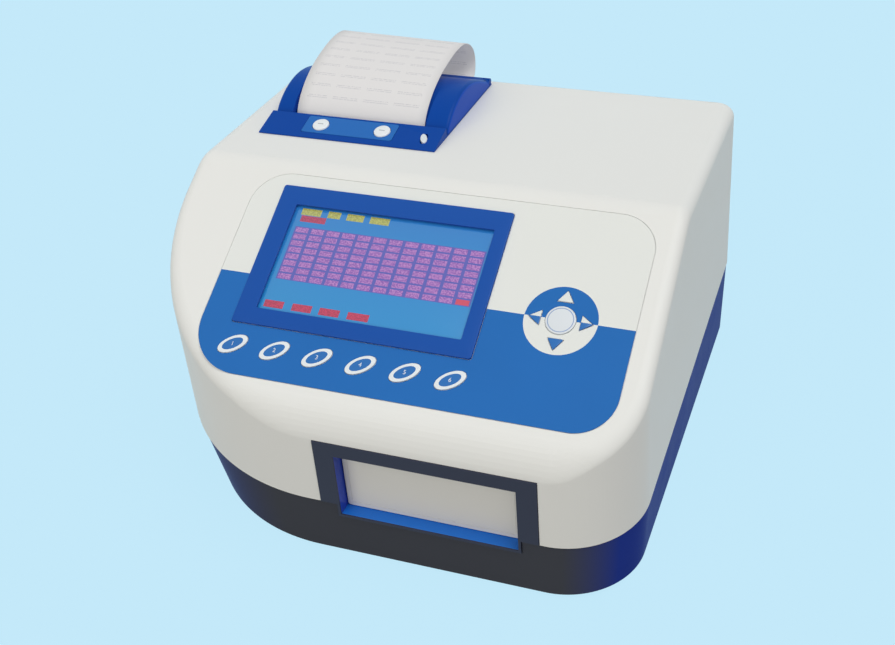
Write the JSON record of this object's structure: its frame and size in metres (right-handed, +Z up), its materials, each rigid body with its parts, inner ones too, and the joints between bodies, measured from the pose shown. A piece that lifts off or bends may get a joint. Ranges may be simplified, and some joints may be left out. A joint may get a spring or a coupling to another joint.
{
  "type": "microplate reader",
  "caption": "Benchtop microplate reader: sloping keypad and display panel, motorised plate drawer behind a front window, reading head inside and a strip printer in the top.",
  "frame": {"origin": "bottom centre of the bounding box, on the surface that the feet stand on", "axes": "+X to the right as the user sees the front, +Y to the rear, +Z up"},
  "size_m": [0.3806, 0.3738, 0.2601],
  "materials": {
    "shell_white": "satin moulded plastic",
    "base_blue": "semi-gloss moulded plastic",
    "frame_blue": "semi-gloss moulded plastic",
    "panel_sheet": "printed sheet, white and blue",
    "button_white": "satin moulded plastic",
    "bezel_blue": "gloss moulded plastic",
    "display_glass": "coated glass over the lit display",
    "printer_blue": "gloss moulded plastic",
    "label_blue": "printed sheet",
    "lamp_clear": "clear lens",
    "black_rubber": "matt rubber",
    "sheet_steel": "zinc-plated sheet",
    "ground_steel": "ground and plated",
    "cast_aluminium": "machined",
    "motor_black": "black paint",
    "black_plastic": "matt moulded plastic",
    "switch_black": "gloss moulded plastic",
    "socket_metal": "tinned steel",
    "board_green": "glass-fibre board with parts",
    "module_metal": "formed case",
    "thermal_paper": "thin printed paper"
  },
  "bodies": {
    "housing": {"top_shell": "shell_white", "base_pan": "base_blue", "window_frame": "frame_blue", "keypad_overlay": "panel_sheet", "display_bezel": "bezel_blue", "touch_screen": "display_glass", "printer_tub": "printer_blue", "printer_label": "label_blue", "printer_lamp": "lamp_clear", "foot_front_left": "black_rubber", "foot_front_right": "black_rubber", "foot_rear_left": "black_rubber", "foot_rear_right": "black_rubber", "drawer_belt": "black_rubber", "chassis_plate": "sheet_steel", "drawer_frame": "sheet_steel", "head_frame": "sheet_steel", "rear_panel": "sheet_steel", "power_supply": "sheet_steel", "filter_motor": "sheet_steel", "drawer_rod_left": "ground_steel", "drawer_rod_right": "ground_steel", "head_rod_front": "ground_steel", "head_rod_rear": "ground_steel", "lamp_housing": "cast_aluminium", "drawer_motor": "motor_black", "head_motor": "motor_black", "fan_frame": "black_plastic", "mains_inlet": "black_plastic", "data_ports": "socket_metal", "main_board": "board_green", "keypad_board": "board_green", "display_board": "module_metal", "thermal_head": "module_metal"},
    "drawer": {"drawer_front": "shell_white", "plate_carrier": "black_plastic"},
    "drive_pulley": {"drive_pulley": "cast_aluminium"},
    "idler_pulley": {"idler_pulley": "cast_aluminium"},
    "read_head": {"read_head": "black_plastic"},
    "head_screw": {"head_screw": "ground_steel"},
    "filter_wheel": {"filter_wheel": "cast_aluminium"},
    "fan_rotor": {"fan_rotor": "black_plastic"},
    "power_switch": {"power_switch": "switch_black"},
    "printer_cover": {"printer_cover": "printer_blue", "paper_strip": "thermal_paper"},
    "paper_roll": {"paper_roll": "thermal_paper"},
    "platen_roller": {"platen_roller": "black_rubber"},
    "printer_feed_button": {"printer_feed_button": "button_white"},
    "printer_select_button": {"printer_select_button": "button_white"},
    "key_1": {"key_1": "panel_sheet"},
    "key_2": {"key_2": "panel_sheet"},
    "key_3": {"key_3": "panel_sheet"},
    "key_4": {"key_4": "panel_sheet"},
    "key_5": {"key_5": "panel_sheet"},
    "key_6": {"key_6": "panel_sheet"},
    "key_up": {"key_up": "panel_sheet"},
    "key_left": {"key_left": "panel_sheet"},
    "key_down": {"key_down": "panel_sheet"},
    "key_right": {"key_right": "panel_sheet"},
    "key_enter": {"key_enter": "button_white"}
  },
  "joints": [
    {"name": "drawer_slide", "type": "slide", "parent": "housing", "child": "drawer", "axis": [0, -1, 0], "range_m": [0, 0.1]},
    {"name": "drive_pulley_turn", "type": "hinge", "parent": "housing", "child": "drive_pulley", "pos_m": [-0.0502, 0.02895, 0.0533], "axis": [1, 0, 0], "range_deg": [0, 650]},
    {"name": "idler_pulley_turn", "type": "hinge", "parent": "housing", "child": "idler_pulley", "pos_m": [-0.0502, -0.15403, 0.0533], "axis": [1, 0, 0], "range_deg": [0, 650]},
    {"name": "read_head_slide", "type": "slide", "parent": "housing", "child": "read_head", "axis": [-1, 0, 0], "range_m": [0, 0.099]},
    {"name": "head_screw_turn", "type": "hinge", "parent": "housing", "child": "head_screw", "pos_m": [0.0488, -0.00205, 0.0633], "axis": [1, 0, 0], "range_deg": [0, 3600]},
    {"name": "filter_wheel_turn", "type": "hinge", "parent": "housing", "child": "filter_wheel", "pos_m": [-0.12045, -0.04005, 0.0533], "axis": [0, 1, 0], "continuous": true},
    {"name": "fan_spin", "type": "hinge", "parent": "housing", "child": "fan_rotor", "pos_m": [0.1118, 0.16795, 0.1303], "axis": [0, 1, 0], "continuous": true},
    {"name": "power_switch_rock", "type": "hinge", "parent": "housing", "child": "power_switch", "pos_m": [-0.0032, 0.17295, 0.1153], "axis": [1, 0, 0], "range_deg": [0, 14]},
    {"name": "printer_cover_hinge", "type": "hinge", "parent": "housing", "child": "printer_cover", "pos_m": [-0.0942, 0.16305, 0.2242], "axis": [-1, 0, 0], "range_deg": [0, 36]},
    {"name": "paper_roll_turn", "type": "hinge", "parent": "housing", "child": "paper_roll", "pos_m": [-0.1002, 0.12396, 0.1963], "axis": [1, 0, 0], "continuous": true},
    {"name": "platen_turn", "type": "hinge", "parent": "housing", "child": "platen_roller", "pos_m": [-0.1002, 0.07324, 0.2083], "axis": [1, 0, 0], "continuous": true},
    {"name": "printer_feed_button_press", "type": "slide", "parent": "housing", "child": "printer_feed_button", "axis": [0, 0.2442, -0.9697], "range_m": [0, 0.0008], "stiffness_N_per_m": 300},
    {"name": "printer_select_button_press", "type": "slide", "parent": "housing", "child": "printer_select_button", "axis": [0, 0.2442, -0.9697], "range_m": [0, 0.0008], "stiffness_N_per_m": 300},
    {"name": "key_1_press", "type": "slide", "parent": "housing", "child": "key_1", "axis": [0, 0.4894, -0.8721], "range_m": [0, 0.0005], "stiffness_N_per_m": 300},
    {"name": "key_2_press", "type": "slide", "parent": "housing", "child": "key_2", "axis": [0, 0.4894, -0.8721], "range_m": [0, 0.0005], "stiffness_N_per_m": 300},
    {"name": "key_3_press", "type": "slide", "parent": "housing", "child": "key_3", "axis": [0, 0.4894, -0.8721], "range_m": [0, 0.0005], "stiffness_N_per_m": 300},
    {"name": "key_4_press", "type": "slide", "parent": "housing", "child": "key_4", "axis": [0, 0.4894, -0.8721], "range_m": [0, 0.0005], "stiffness_N_per_m": 300},
    {"name": "key_5_press", "type": "slide", "parent": "housing", "child": "key_5", "axis": [0, 0.4894, -0.8721], "range_m": [0, 0.0005], "stiffness_N_per_m": 300},
    {"name": "key_6_press", "type": "slide", "parent": "housing", "child": "key_6", "axis": [0, 0.4894, -0.8721], "range_m": [0, 0.0005], "stiffness_N_per_m": 300},
    {"name": "key_up_press", "type": "slide", "parent": "housing", "child": "key_up", "axis": [0, 0.4894, -0.8721], "range_m": [0, 0.0005], "stiffness_N_per_m": 300},
    {"name": "key_left_press", "type": "slide", "parent": "housing", "child": "key_left", "axis": [0, 0.4894, -0.8721], "range_m": [0, 0.0005], "stiffness_N_per_m": 300},
    {"name": "key_down_press", "type": "slide", "parent": "housing", "child": "key_down", "axis": [0, 0.4894, -0.8721], "range_m": [0, 0.0005], "stiffness_N_per_m": 300},
    {"name": "key_right_press", "type": "slide", "parent": "housing", "child": "key_right", "axis": [0, 0.4894, -0.8721], "range_m": [0, 0.0005], "stiffness_N_per_m": 300},
    {"name": "key_enter_press", "type": "slide", "parent": "housing", "child": "key_enter", "axis": [0, 0.4894, -0.8721], "range_m": [0, 0.0005], "stiffness_N_per_m": 300}
  ],
  "couplings": [
    {"joint": "drive_pulley_turn", "follows": "drawer_slide", "rad_per_m": 110.5},
    {"joint": "idler_pulley_turn", "follows": "drawer_slide", "rad_per_m": 110.5},
    {"joint": "head_screw_turn", "follows": "read_head_slide", "rad_per_m": 628.32},
    {"joint": "platen_turn", "follows": "paper_roll_turn", "ratio": 3.2857}
  ]
}
